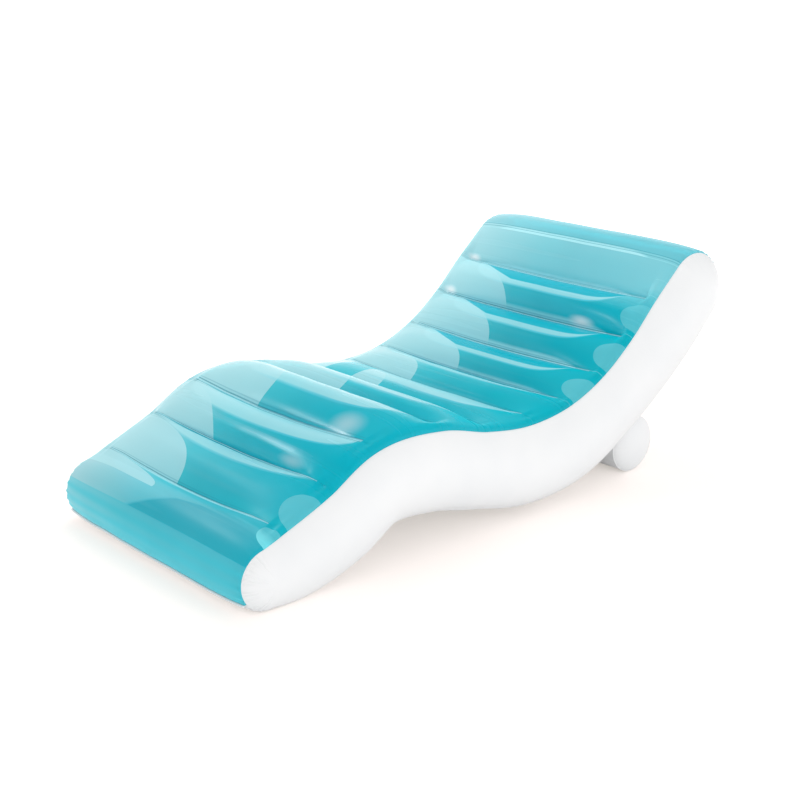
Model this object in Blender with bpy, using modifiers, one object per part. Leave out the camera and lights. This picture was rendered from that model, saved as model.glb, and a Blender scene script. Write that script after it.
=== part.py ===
"""Inflatable pool chair: a wave-shaped lounge of heat-welded film, with a bolster under its back.

Metres, +Z up. +X points to the head, +Y to the sitter's right, and the floor is z = 0.
A spine curve runs through the middle of the air chamber. Every film, baffle and seam is set off
from that curve, so that they stay together when a size changes.
"""
import math

import bmesh
import bpy
from mathutils import Matrix, Vector

# Chamber
SPAN = 1.675
CLIMB = 0.479
THICKNESS = 0.240
SEAM_HALF_WIDTH = 0.435
WELD_INSET = 0.048
WELD_HALF_WIDTH = SEAM_HALF_WIDTH - WELD_INSET
SIDE_ROLL_WIDTH = 0.075
WALL_BULGE_DEPTH = 0.055
FILM = 0.0005
GAP = 0.0003

# Ribs between the welds, on the seat and on the underside
SEAT_SWELL = 0.045
FOOT_WELD_BOW = 0.028
HEAD_WELD_BOW = 0.010
UNDERSIDE_SWELL = 0.022
UNDERSIDE_WELD_BOW = 0.003
END_SWELL = 0.012
PAD_DEPTH = 0.0042

# Bolster
BOLSTER_DIAMETER = 0.185
BOLSTER_INSET = 0.055
BOLSTER_LENGTH = 2 * (SEAM_HALF_WIDTH - BOLSTER_INSET)
BOLSTER_CAP_SKIRT = 0.004
BOLSTER_CAP_BULGE = 0.030
BOLSTER_CAP_FLAT_RADIUS = 0.021
STRIP_INSET = 0.040
STRIP_LENGTH = BOLSTER_LENGTH - 2 * STRIP_INSET
STRIP_WIDTH = 0.040
STRIP_THICKNESS = 0.0010

# Valves: a flange welded on the film, a stem that pushes in, a stopper on a strap and a check flap
VALVE_OFFSET = 0.250
FLANGE_RADIUS = 0.0160
FLANGE_THICKNESS = 0.0010
COLLAR_HEIGHT = 0.0040
COLLAR_WALL = 0.0016
SKIRT_DEPTH = 0.0030
SKIRT_WALL = 0.0013
STEM_RADIUS = 0.0060
STEM_BORE_RADIUS = 0.0035
STEM_HEIGHT = 0.0140
STEM_DEPTH = 0.0060
STEM_LIP_RADIUS = 0.0075
STEM_LIP_HEIGHT = 0.0015
STEM_STOP_RADIUS = 0.0073
STEM_STOP_HEIGHT = 0.0015
STRAP_WIDTH = 0.0050
STRAP_THICKNESS = 0.0012
STRAP_REACH = 0.0120
ARM_THICKNESS = 0.0015
STOPPER_RADIUS = 0.0065
STOPPER_HEAD = 0.0020
PLUG_TIP_RADIUS = 0.0024
PLUG_DEPTH = 0.0045
TAB_REACH = 0.0110
BARREL_RADIUS = 0.0010
FLAP_RADIUS = 0.0046
FLAP_THICKNESS = 0.0006
FLAP_HINGE_REACH = 0.0050
CUT_OVERRUN = 0.0100

# The spine's points, each a share of the span, of the climb and of half the thickness. The first is
# the middle of the foot's round end, the last that of the head's, and each other one is a baffle.
SPINE_SHARES = (
    (0.000, 0.000, 0.704),
    (0.036, 0.019, 0.805),
    (0.153, 0.152, 0.930),
    (0.232, 0.303, 0.925),
    (0.349, 0.307, 0.942),
    (0.446, 0.228, 0.925),
    (0.570, 0.163, 1.000),
    (0.685, 0.213, 1.025),
    (0.785, 0.376, 0.975),
    (0.873, 0.593, 1.008),
    (0.944, 0.816, 1.067),
    (1.000, 1.000, 1.042),
)
RIBS = len(SPINE_SHARES) - 1

# How full each rib is, from the foot to the head, as a share of the swell on its side.
SEAT_RIB_SHARES = (0.55, 0.90, 1.00, 1.15, 0.90, 0.85, 0.85, 0.90, 0.90, 0.85, 0.60)
UNDERSIDE_RIB_SHARES = (0.23, 0.60, 0.90, 1.00, 1.00, 1.00, 1.00, 1.20, 1.35, 1.20, 0.80)

# How far the ends of each seat weld lie over the seam, from the foot to the head, as a share of the
# seat's swell. A weld bows down between its ends, more at the foot than at the head.
WELD_END_SHARES = (0.67, 0.80, 0.55, 0.16, 0.32, 0.50, 0.38, 0.30, -0.07, -0.22)

# Rows across the film, as shares of the weld's half width. Two more rows follow out to the seam.
CROSS_SHARES = (0.0, 0.5, 0.83, 1.0)
# Rings of a side wall, from its seam to its spine.
WALL_RING_SHARES = (1.0, 0.8, 0.5, 0.0)
RIB_STEPS = 4
END_STEPS = 5
RIB_ROUNDNESS = 0.8
FOOT_SEAM_ANGLE = math.radians(116)
HEAD_SEAM_ANGLE = math.radians(95)
BOLSTER_SIDES = 32
VALVE_SIDES = 18
SEARCH_STEPS = 50
SMOOTH_ANGLE = math.radians(35)
MERGE_DISTANCE = 0.00001
# A weld folds the film, so that a baffle lies a little more than its thickness under the outer face.
WELD_FOLD_SHARE = 1.3
# Rings of a bolster cap's dome, from its flat middle to its rim.
CAP_RING_SHARES = (0.0, 0.35, 0.65, 0.88, 1.0)

SEAT, UNDERSIDE = 1, -1

# Colour, roughness and metallic value of each material
FINISHES = {
    "aqua_film": ((0.030, 0.440, 0.560, 1.0), 0.16, 0.0),
    "white_film": ((0.900, 0.910, 0.920, 1.0), 0.34, 0.0),
    "valve_vinyl": ((0.620, 0.780, 0.820, 1.0), 0.28, 0.0),
}


# Scene set-up and shared helpers

def clear_scene():
    for obj in list(bpy.data.objects):
        bpy.data.objects.remove(obj)


def make_collection(name):
    collection = bpy.data.collections.new(name)
    bpy.context.scene.collection.children.link(collection)
    return collection


def make_materials():
    materials = {}
    for name, (colour, roughness, metallic) in FINISHES.items():
        material = bpy.data.materials.new(name)
        material.use_nodes = True
        shader = material.node_tree.nodes["Principled BSDF"]
        shader.inputs["Base Color"].default_value = colour
        shader.inputs["Roughness"].default_value = roughness
        shader.inputs["Metallic"].default_value = metallic
        materials[name] = material
    return materials


def add_object(name, bm, material):
    """Turns a bmesh into a named object of the chair, under the root empty."""
    mesh = bpy.data.meshes.new(name)
    bm.to_mesh(mesh)
    bm.free()
    mesh.shade_smooth()
    mesh.set_sharp_from_angle(angle=SMOOTH_ANGLE)
    obj = bpy.data.objects.new(name, mesh)
    obj.data.materials.append(material)
    PARTS.objects.link(obj)
    obj.parent = ROOT
    return obj


def loft(rows, closed=False):
    """Quads between neighbouring rows of points, which hold equally many points each."""
    bm = bmesh.new()
    grid = [[bm.verts.new(point) for point in row] for row in rows]
    pairs = list(zip(grid, grid[1:]))
    if closed:
        pairs.append((grid[-1], grid[0]))
    for row, following in pairs:
        for column in range(len(row) - 1):
            bm.faces.new((row[column], row[column + 1], following[column + 1], following[column]))
    return bm


def loft_rings(rings):
    """A solid through closed rings of points, with its two ends filled."""
    bm = loft([ring + ring[:1] for ring in rings])
    bmesh.ops.remove_doubles(bm, verts=bm.verts[:], dist=MERGE_DISTANCE)
    bmesh.ops.holes_fill(bm, edges=[edge for edge in bm.edges if edge.is_boundary])
    bmesh.ops.recalc_face_normals(bm, faces=bm.faces[:])
    return bm


def add_film_thickness(obj):
    """The lofted face of a film is its outer one, and the film grows inwards from it."""
    solidify = obj.modifiers.new("film", "SOLIDIFY")
    solidify.thickness = FILM
    solidify.offset = -1
    solidify.use_even_offset = True


def add_turned(name, profile, sides, material):
    """A profile of (radius, height) points, turned about Z."""
    bm = bmesh.new()
    verts = [bm.verts.new((radius, 0, height)) for radius, height in profile]
    for first, second in zip(verts, verts[1:]):
        bm.edges.new((first, second))
    if profile[0][0] > 0:
        bm.edges.new((verts[-1], verts[0]))
    obj = add_object(name, bm, material)
    add_screw(obj, sides)
    return obj


def add_screw(obj, sides):
    screw = obj.modifiers.new("turn", "SCREW")
    screw.steps = sides
    screw.render_steps = sides
    screw.use_merge_vertices = True
    screw.merge_threshold = MERGE_DISTANCE


def box_mesh(low, high):
    bm = bmesh.new()
    bmesh.ops.create_cube(bm, size=1)
    low, high = Vector(low), Vector(high)
    for vert in bm.verts:
        share = vert.co + Vector((0.5, 0.5, 0.5))
        vert.co = Vector(low[i] + (high[i] - low[i]) * share[i] for i in range(3))
    return bm


def rod_mesh(radius, length):
    """A round rod along Y, about the origin."""
    bm = bmesh.new()
    bmesh.ops.create_cone(bm, cap_ends=True, segments=VALVE_SIDES, radius1=radius, radius2=radius,
                          depth=length, matrix=Matrix.Rotation(math.pi / 2, 4, "X"))
    return bm


def add_helper(name, bm, matrix):
    """A hidden shape that a Boolean reads."""
    mesh = bpy.data.meshes.new(name)
    bm.to_mesh(mesh)
    bm.free()
    obj = bpy.data.objects.new(name, mesh)
    obj.hide_render = True
    obj.display_type = "WIRE"
    CUTTERS.objects.link(obj)
    obj.parent = ROOT
    obj.matrix_local = matrix
    return obj


def add_pivot(name, matrix):
    """An empty on a hinge's axis, which carries the piece that turns."""
    pivot = bpy.data.objects.new(name, None)
    PARTS.objects.link(pivot)
    pivot.parent = ROOT
    pivot.matrix_local = matrix
    return pivot


def add_boolean(obj, helper, operation):
    boolean = obj.modifiers.new(helper.name, "BOOLEAN")
    boolean.object = helper
    boolean.operation = operation


# The spine

def spine_points():
    half = THICKNESS / 2
    return [Vector((SPAN * along, CLIMB * up, half * thick)) for along, up, thick in SPINE_SHARES]


def spine_slopes(points):
    """The curve's slope at each point, from a parabola through the point and its neighbours."""
    steps = [(b.xy - a.xy).length for a, b in zip(points, points[1:])]
    rates = [(b - a) / step for a, b, step in zip(points, points[1:], steps)]
    slopes = [rates[0]]
    for before, after, rate, following in zip(steps, steps[1:], rates, rates[1:]):
        slopes.append((rate * after + following * before) / (before + after))
    slopes.append(rates[-1])
    return steps, slopes


class Station:
    """A place on a film: its point on the spine, its outward direction and how the film lies there."""

    def __init__(self, centre, outward, half, swell, valley=0, weld_end=0, weld_bow=0):
        self.centre = centre
        self.outward = outward
        self.half = half
        self.swell = swell
        self.valley = valley
        self.weld_end = weld_end
        self.weld_bow = weld_bow


def spine_at(place):
    """Centre, direction along the spine and half thickness, at a place counted in ribs."""
    index = min(int(place), RIBS - 1)
    t = place - index
    step = SPINE_STEPS[index]
    start, end = SPINE[index], SPINE[index + 1]
    start_slope, end_slope = SPINE_SLOPES[index] * step, SPINE_SLOPES[index + 1] * step
    value = ((2 * t ** 3 - 3 * t ** 2 + 1) * start + (t ** 3 - 2 * t ** 2 + t) * start_slope
             + (3 * t ** 2 - 2 * t ** 3) * end + (t ** 3 - t ** 2) * end_slope)
    rate = ((6 * t ** 2 - 6 * t) * (start - end) + (3 * t ** 2 - 4 * t + 1) * start_slope
            + (3 * t ** 2 - 2 * t) * end_slope)
    return value.xy, rate.xy.normalized(), value.z


def rib_fullness(side, place):
    """How far the film swells past the seam, between the middles of the two nearest ribs."""
    shares, full = (SEAT_RIB_SHARES, SEAT_SWELL) if side == SEAT else (UNDERSIDE_RIB_SHARES, UNDERSIDE_SWELL)
    middle = min(max(place - 0.5, 0), RIBS - 1)
    index = min(int(middle), RIBS - 2)
    t = middle - index
    return full * ((1 - t) * shares[index] + t * shares[index + 1])


def rib_valley(place):
    """1 on a weld and 0 on the crown of a rib. The end ribs have a weld on one side only."""
    index = min(int(place), RIBS - 1)
    t = place - index
    if index == 0:
        t = 0.5 + t / 2
    elif index == RIBS - 1:
        t = t / 2
    return 1 - math.sin(math.pi * t) ** RIB_ROUNDNESS


def weld_levels(side, place):
    """How far the nearest weld's ends lie over the seam, and how far the weld bows down between them."""
    if side == UNDERSIDE:
        return 0, UNDERSIDE_WELD_BOW
    weld = min(max(round(place), 1), RIBS - 1)
    share = weld / RIBS
    return SEAT_SWELL * WELD_END_SHARES[weld - 1], FOOT_WELD_BOW * (1 - share) + HEAD_WELD_BOW * share


def straight_station(side, place):
    """A station of a film between its two round ends."""
    centre, along, half = spine_at(place)
    normal = Vector((-along.y, along.x)) * side
    return Station(centre, normal, half, rib_fullness(side, place), rib_valley(place), *weld_levels(side, place))


def end_stations(side, place, seam_angle, backward):
    """Stations of a film round one end, from the seam to the straight part."""
    centre, along, half = spine_at(place)
    normal = Vector((-along.y, along.x)) * side
    tip = -along if backward else along
    reach = seam_angle if side == SEAT else math.pi - seam_angle
    stations = []
    for step in range(END_STEPS):
        share = 1 - step / END_STEPS
        angle = reach * share
        outward = normal * math.cos(angle) + tip * math.sin(angle)
        swell = rib_fullness(side, place) * (1 - share) + END_SWELL * share
        stations.append(Station(centre, outward, half, swell))
    return stations


def film_stations(side, seam_trim=0):
    """Stations of the seat's or the underside's film, from the foot's seam to the head's."""
    foot_half = spine_at(0)[2]
    head_half = spine_at(RIBS)[2]
    foot_angle = FOOT_SEAM_ANGLE - side * seam_trim / foot_half
    head_angle = HEAD_SEAM_ANGLE - side * seam_trim / head_half
    stations = end_stations(side, 0, foot_angle, True)
    for step in range(RIBS * RIB_STEPS + 1):
        stations.append(straight_station(side, step / RIB_STEPS))
    stations += reversed(end_stations(side, RIBS, head_angle, False))
    return stations


# The films' surfaces

def cross_positions():
    """Places across the film, from the left seam to the right one."""
    rows = [WELD_HALF_WIDTH * share for share in CROSS_SHARES]
    rows += [(WELD_HALF_WIDTH + SEAM_HALF_WIDTH) / 2, SEAM_HALF_WIDTH]
    return [-row for row in reversed(rows[1:])] + rows


def film_distance(station, across):
    """How far the outer face of a film lies from the spine, at a place across it."""
    inset = SEAM_HALF_WIDTH - abs(across)
    crown = station.swell * math.sin(math.pi / 2 * min(inset / SIDE_ROLL_WIDTH, 1))
    pinch = min(inset / WELD_INSET, 1)
    bow = station.weld_bow * max(1 - (across / WELD_HALF_WIDTH) ** 2, 0)
    weld = station.weld_end * pinch - bow
    return station.half + crown + (weld - crown) * station.valley * pinch


def film_point(station, across, depth=0):
    """A point of a film, by its depth under the outer face. The underside is flat where it stands."""
    distance = film_distance(station, across) - depth
    flat = station.centre + station.outward * distance
    return Vector((flat.x, across, max(flat.y, FLOOR + depth)))


def film_rows(side, seam_trim=0):
    """The outer face of a film, one row for each station."""
    edge_trim = (SEAM_HALF_WIDTH - GAP / 2) / SEAM_HALF_WIDTH
    rows = []
    for station in film_stations(side, seam_trim):
        row = [film_point(station, across) for across in cross_positions()]
        row[0].y *= edge_trim
        row[-1].y *= edge_trim
        rows.append(row)
    return rows


def floor_level():
    """The floor is set a little above the lowest rib, which flattens on it."""
    levels = []
    for station in film_stations(UNDERSIDE):
        for across in cross_positions():
            levels.append((station.centre + station.outward * film_distance(station, across)).y)
    return min(levels) + PAD_DEPTH


# Air chamber

def build_seat_film(materials):
    rows = film_rows(SEAT, GAP / 2)
    film = add_object("top_sheet", loft([row[::-1] for row in rows]), materials["aqua_film"])
    add_film_thickness(film)


def build_underside_film(materials):
    rows = film_rows(UNDERSIDE, GAP / 2)
    film = add_object("bottom_sheet", loft(rows), materials["white_film"])
    add_film_thickness(film)
    return film


def build_side_wall(name, hand, material):
    """A domed wall: rings from the seam, where the films end, to the spine."""
    seam = SEAM_HALF_WIDTH + (GAP + FILM) / 2
    outline = film_stations(SEAT) + film_stations(UNDERSIDE)[-2:0:-1]
    rows = []
    for station in outline:
        row = []
        for share in WALL_RING_SHARES:
            flat = station.centre + station.outward * station.half * share
            bulge = WALL_BULGE_DEPTH * station.half / (THICKNESS / 2) * (1 - share ** 2)
            row.append(Vector((flat.x, hand * (seam + bulge), flat.y)))
        rows.append(row[::-1] if hand > 0 else row)
    bm = loft(rows, closed=True)
    bmesh.ops.remove_doubles(bm, verts=bm.verts[:], dist=MERGE_DISTANCE)
    add_film_thickness(add_object(name, bm, material))


def build_baffle(number, material):
    """An upright strip of film between two welds, cut to the curve that the welds take."""
    along = spine_at(number)[1]
    depth = FILM * WELD_FOLD_SHARE + GAP
    stations = [straight_station(SEAT, number), straight_station(UNDERSIDE, number)]
    rows = []
    for across in cross_positions()[2:-2]:
        rows.append([film_point(station, across, depth) for station in stations])
    shift = Vector((along.x, 0, along.y)) * FILM / 2
    rings = [[high - shift, low - shift, low + shift, high + shift] for high, low in rows]
    add_object(f"baffle_{number:02d}", loft_rings(rings), material)


# Bolster

def underside_lines():
    """Lines along the underside's outer face, one for each row across it, as (x, z) points."""
    rows = film_rows(UNDERSIDE)
    return [[Vector((row[column].x, row[column].z)) for row in rows] for column in range(len(rows[0]))]


def nearest_on_underside(point, lines):
    """The point of the underside that lies nearest to a place in the side view."""
    best = None
    for line in lines:
        for start, end in zip(line, line[1:]):
            run = end - start
            share = min(max((point - start).dot(run) / run.length_squared, 0), 1)
            place = start + run * share
            if best is None or (place - point).length < (best - point).length:
                best = place
    return best


def bolster_centre():
    """The bolster lies on the floor, as far in as the underside of the back and its strip allow."""
    radius = BOLSTER_DIAMETER / 2
    height = FLOOR + radius * math.cos(math.pi / BOLSTER_SIDES)
    reach = radius + STRIP_THICKNESS + 2 * GAP
    lines = underside_lines()
    belly = [point for line in lines for point in line if point.x > SPAN / 2]
    low = min(belly, key=lambda point: point.y).x
    high = SPAN
    for _ in range(SEARCH_STEPS):
        middle = (low + high) / 2
        centre = Vector((middle, height))
        if (nearest_on_underside(centre, lines) - centre).length < reach:
            low = middle
        else:
            high = middle
    return Vector((high, height))


def bolster_matrix(centre, hand=1):
    """The turned shapes' Z axis along the chair's Y, with a flat side of the polygon downwards."""
    turn = Matrix.Rotation(-hand * math.pi / 2, 4, "X")
    flat_down = Matrix.Rotation(hand * math.pi / 2 + math.pi / BOLSTER_SIDES, 4, "Z")
    return Matrix.Translation((centre.x, 0, centre.y)) @ turn @ flat_down


def build_bolster_tube(centre, material):
    radius, half = BOLSTER_DIAMETER / 2, BOLSTER_LENGTH / 2
    bm = bmesh.new()
    ends = [bm.verts.new((radius, 0, half)), bm.verts.new((radius, 0, -half))]
    bm.edges.new(ends)
    tube = add_object("bolster_tube", bm, material)
    tube.matrix_local = bolster_matrix(centre)
    add_screw(tube, BOLSTER_SIDES)
    add_film_thickness(tube)


def cap_profile(inner_radius):
    """A short skirt, then a dome with a flat middle, out to its rim."""
    radius = BOLSTER_DIAMETER / 2
    start = BOLSTER_LENGTH / 2 + GAP
    profile = [(inner_radius, start + BOLSTER_CAP_SKIRT + BOLSTER_CAP_BULGE)]
    for share in CAP_RING_SHARES:
        ring = BOLSTER_CAP_FLAT_RADIUS + (radius - BOLSTER_CAP_FLAT_RADIUS) * share
        profile.append((ring, start + BOLSTER_CAP_SKIRT + BOLSTER_CAP_BULGE * (1 - share ** 2)))
    profile.append((radius, start))
    return profile


def build_bolster_cap(name, centre, hand, inner_radius, material):
    bm = bmesh.new()
    verts = [bm.verts.new((radius, 0, height)) for radius, height in cap_profile(inner_radius)]
    for first, second in zip(verts, verts[1:]):
        bm.edges.new((first, second))
    cap = add_object(name, bm, material)
    cap.matrix_local = bolster_matrix(centre, hand)
    add_screw(cap, BOLSTER_SIDES)
    add_film_thickness(cap)


def build_bolster_strip(centre, material):
    """The strip that welds the bolster to the underside: it follows the tube's sides where they touch."""
    radius = BOLSTER_DIAMETER / 2
    step = 2 * math.pi / BOLSTER_SIDES
    outward = nearest_on_underside(centre, underside_lines()) - centre
    sides = max(round(STRIP_WIDTH / (radius * step)), 1)
    lowest = -math.pi / 2 + step / 2
    first = round((math.atan2(outward.y, outward.x) - lowest) / step - sides / 2)
    rings = []
    for corner in range(first, first + sides + 1):
        angle = lowest + corner * step
        ring = []
        for reach, across in ((0, -1), (0, 1), (STRIP_THICKNESS, 1), (STRIP_THICKNESS, -1)):
            flat = centre + Vector((math.cos(angle), math.sin(angle))) * (radius + GAP + reach)
            ring.append(Vector((flat.x, across * STRIP_LENGTH / 2, flat.y)))
        rings.append(ring)
    add_object("bolster_weld_strip", loft_rings(rings), material)


# Valves

def valve_matrix(place, outward):
    """The valve's Z axis points out of the film, and its X axis points to the strap, uppermost."""
    out = outward.normalized()
    up = (Vector((0, 0, 1)) - out * out.z).normalized()
    side = out.cross(up)
    matrix = Matrix((up, side, out)).transposed().to_4x4()
    return Matrix.Translation(place) @ matrix


def head_valve_matrix():
    """On the flat of the head's underside that looks straight back."""
    rows = film_rows(UNDERSIDE)
    middle = len(cross_positions()) // 2
    flats = []
    for row, following in zip(rows[-END_STEPS - 1:], rows[-END_STEPS:]):
        start, end = row[middle], following[middle]
        run = end - start
        outward = Vector((run.z, 0, -run.x)).normalized()
        flats.append((outward, (start + end) / 2))
    outward, place = max(flats, key=lambda flat: flat[0].x)
    place = Vector((place.x, VALVE_OFFSET, place.z))
    return valve_matrix(place, outward)


def place_valve_piece(obj, valve, origin=(0, 0, 0)):
    obj.matrix_local = valve @ Matrix.Translation(origin)


def build_flange(prefix, valve, material):
    """A disc on the film, with a collar outside and a skirt through the film's hole."""
    bore = STEM_RADIUS + GAP
    profile = (
        (bore, -SKIRT_DEPTH),
        (bore + SKIRT_WALL, -SKIRT_DEPTH),
        (bore + SKIRT_WALL, GAP),
        (FLANGE_RADIUS, GAP),
        (FLANGE_RADIUS, GAP + FLANGE_THICKNESS),
        (bore + COLLAR_WALL, GAP + FLANGE_THICKNESS),
        (bore + COLLAR_WALL, COLLAR_HEIGHT),
        (bore, COLLAR_HEIGHT),
    )
    flange = add_turned(prefix + "_flange", profile[::-1], VALVE_SIDES, material)
    place_valve_piece(flange, valve)


def build_stem(prefix, valve, material):
    """A tube with a lip, a stop under the skirt, and an arm that carries the stopper's strap."""
    profile = (
        (STEM_BORE_RADIUS, -STEM_DEPTH),
        (STEM_STOP_RADIUS, -STEM_DEPTH),
        (STEM_STOP_RADIUS, -STEM_DEPTH + STEM_STOP_HEIGHT),
        (STEM_RADIUS, -STEM_DEPTH + STEM_STOP_HEIGHT),
        (STEM_RADIUS, STEM_HEIGHT - STEM_LIP_HEIGHT),
        (STEM_LIP_RADIUS, STEM_HEIGHT - STEM_LIP_HEIGHT),
        (STEM_LIP_RADIUS, STEM_HEIGHT),
        (STEM_BORE_RADIUS, STEM_HEIGHT),
    )
    stem = add_turned(prefix + "_stem", profile[::-1], VALVE_SIDES, material)
    place_valve_piece(stem, valve)
    arm_top = hinge_height() - BARREL_RADIUS - GAP
    low = (STEM_RADIUS - ARM_THICKNESS / 2, -STRAP_WIDTH / 2, arm_top - ARM_THICKNESS)
    high = (STRAP_REACH + BARREL_RADIUS, STRAP_WIDTH / 2, arm_top)
    arm = add_helper(prefix + "_arm", box_mesh(low, high), valve)
    add_boolean(stem, arm, "UNION")


def hinge_height():
    """The strap's hinge lies level with the strap's middle."""
    return STEM_HEIGHT + GAP + STRAP_THICKNESS / 2


def build_stopper(prefix, valve, material):
    """A tapered plug under a head, with a finger tab and the strap to the hinge."""
    height = hinge_height()
    base = STEM_HEIGHT + GAP
    plug_radius = STEM_BORE_RADIUS - GAP
    profile = (
        (0, base + STOPPER_HEAD),
        (STOPPER_RADIUS, base + STOPPER_HEAD),
        (STOPPER_RADIUS, base),
        (plug_radius, base),
        (PLUG_TIP_RADIUS, base - PLUG_DEPTH),
        (0, base - PLUG_DEPTH),
    )
    local = [(radius, z - height) for radius, z in profile]
    stopper = add_turned(prefix + "_stopper", local, VALVE_SIDES, material)
    hinge = valve @ Matrix.Translation((STRAP_REACH, 0, height))
    pivot = add_pivot(prefix + "_stopper_hinge", hinge)
    stopper.parent = pivot
    stopper.location = (-STRAP_REACH, 0, 0)
    half_strap = STRAP_WIDTH / 2
    low, high = base - height, base - height + STRAP_THICKNESS
    strap_mesh = box_mesh((-TAB_REACH - STRAP_REACH, -half_strap, low), (0, half_strap, high))
    strap = add_helper(prefix + "_strap", strap_mesh, hinge)
    barrel = add_helper(prefix + "_barrel", rod_mesh(BARREL_RADIUS, STRAP_WIDTH), hinge)
    add_boolean(stopper, strap, "UNION")
    add_boolean(stopper, barrel, "UNION")


def build_flap(prefix, valve, material):
    """A thin disc under the stem's inner end, hinged at its upper edge."""
    bm = bmesh.new()
    bmesh.ops.create_cone(bm, cap_ends=True, segments=VALVE_SIDES, radius1=FLAP_RADIUS,
                          radius2=FLAP_RADIUS, depth=FLAP_THICKNESS)
    for vert in bm.verts:
        vert.co.z -= FLAP_THICKNESS / 2
        vert.co.x -= FLAP_HINGE_REACH
    flap = add_object(prefix + "_check_flap", bm, material)
    place_valve_piece(flap, valve, (FLAP_HINGE_REACH, 0, -STEM_DEPTH - GAP))


def build_valve(prefix, valve, material):
    build_flange(prefix, valve, material)
    build_stem(prefix, valve, material)
    build_stopper(prefix, valve, material)
    build_flap(prefix, valve, material)


def film_hole_radius():
    """The flange's skirt passes through the film with a gap."""
    return STEM_RADIUS + GAP + SKIRT_WALL + GAP


def cut_film_hole(film, valve):
    bm = bmesh.new()
    radius = film_hole_radius()
    bmesh.ops.create_cone(bm, cap_ends=True, segments=VALVE_SIDES, radius1=radius, radius2=radius,
                          depth=2 * CUT_OVERRUN)
    add_boolean(film, add_helper("film_hole", bm, valve), "DIFFERENCE")


# Assembly

def build_chamber(materials):
    build_seat_film(materials)
    underside = build_underside_film(materials)
    build_side_wall("side_wall_left", -1, materials["white_film"])
    build_side_wall("side_wall_right", 1, materials["white_film"])
    for number in range(1, RIBS):
        build_baffle(number, materials["aqua_film"])
    valve = head_valve_matrix()
    cut_film_hole(underside, valve)
    build_valve("main_valve", valve, materials["valve_vinyl"])


def build_bolster(materials):
    centre = bolster_centre()
    build_bolster_tube(centre, materials["white_film"])
    build_bolster_cap("bolster_cap_left", centre, -1, 0, materials["white_film"])
    build_bolster_cap("bolster_cap_right", centre, 1, film_hole_radius(), materials["white_film"])
    build_bolster_strip(centre, materials["white_film"])
    top = BOLSTER_LENGTH / 2 + GAP + BOLSTER_CAP_SKIRT + BOLSTER_CAP_BULGE
    valve = valve_matrix(Vector((centre.x, top, centre.y)), Vector((0, 1, 0)))
    build_valve("bolster_valve", valve, materials["valve_vinyl"])


def centre_on_floor():
    """Puts the origin on the floor, in the middle of the chair's length."""
    bpy.context.view_layer.update()
    depsgraph = bpy.context.evaluated_depsgraph_get()
    reach = []
    for obj in PARTS.objects:
        if obj.type == "MESH":
            shape = obj.evaluated_get(depsgraph)
            reach += [(shape.matrix_world @ Vector(corner)).x for corner in shape.bound_box]
    ROOT.location = (-(min(reach) + max(reach)) / 2, 0, -FLOOR)


clear_scene()
PARTS = make_collection("inflatable_pool_chair")
CUTTERS = make_collection("cutters")
ROOT = bpy.data.objects.new("chair", None)
PARTS.objects.link(ROOT)
SPINE = spine_points()
SPINE_STEPS, SPINE_SLOPES = spine_slopes(SPINE)
FLOOR = floor_level()
MATERIALS = make_materials()
build_chamber(MATERIALS)
build_bolster(MATERIALS)
centre_on_floor()
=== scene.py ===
# %% [markdown]
# # Inflatable pool chair
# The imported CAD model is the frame, with every piece at its real size and place. Its films are coarse,
# so this lesson lays fine ones over them, and then sets up the floor, the lamps and the camera.

# %% The frame
import math

import bpy
import numpy as np
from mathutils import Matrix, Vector, noise


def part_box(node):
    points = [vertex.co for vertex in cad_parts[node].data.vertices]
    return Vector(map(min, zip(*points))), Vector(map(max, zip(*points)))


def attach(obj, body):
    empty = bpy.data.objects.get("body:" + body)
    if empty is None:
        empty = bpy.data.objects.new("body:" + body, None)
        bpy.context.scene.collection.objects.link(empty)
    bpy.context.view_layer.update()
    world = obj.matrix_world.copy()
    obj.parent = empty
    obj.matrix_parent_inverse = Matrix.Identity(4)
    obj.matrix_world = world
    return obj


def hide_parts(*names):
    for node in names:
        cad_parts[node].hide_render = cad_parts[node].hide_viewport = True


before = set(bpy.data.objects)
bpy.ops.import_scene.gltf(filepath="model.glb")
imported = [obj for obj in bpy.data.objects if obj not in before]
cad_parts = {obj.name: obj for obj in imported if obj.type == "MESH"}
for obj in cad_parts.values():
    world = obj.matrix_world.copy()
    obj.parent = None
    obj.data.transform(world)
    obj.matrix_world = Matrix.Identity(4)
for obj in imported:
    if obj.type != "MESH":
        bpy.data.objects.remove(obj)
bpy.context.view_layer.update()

# %% [markdown]
# ## The line that everything follows
# A real chair is cut from flat film, but its shape is easiest to draw as a line: a spine through the
# middle of the air, from the foot over the knee and the seat to the head. The table gives each weld's
# place along it and how thick the chair is there. All other shapes are set off from it.

# %% The spine's places and thicknesses
SPAN = 1.675
CLIMB = 0.479
THICKNESS = 0.240
SEAM_HALF_WIDTH = 0.435
WELD_INSET = 0.048
WELD_HALF_WIDTH = SEAM_HALF_WIDTH - WELD_INSET
FOOT_SEAM_ANGLE = math.radians(116)
HEAD_SEAM_ANGLE = math.radians(95)
SPINE_SHARES = np.array((
    (0.000, 0.000, 0.704),
    (0.036, 0.019, 0.805),
    (0.153, 0.152, 0.930),
    (0.232, 0.303, 0.925),
    (0.349, 0.307, 0.942),
    (0.446, 0.228, 0.925),
    (0.570, 0.163, 1.000),
    (0.685, 0.213, 1.025),
    (0.785, 0.376, 0.975),
    (0.873, 0.593, 1.008),
    (0.944, 0.816, 1.067),
    (1.000, 1.000, 1.042),
))
RIBS = len(SPINE_SHARES) - 1
SPINE = SPINE_SHARES * (SPAN, CLIMB, THICKNESS / 2)


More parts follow.
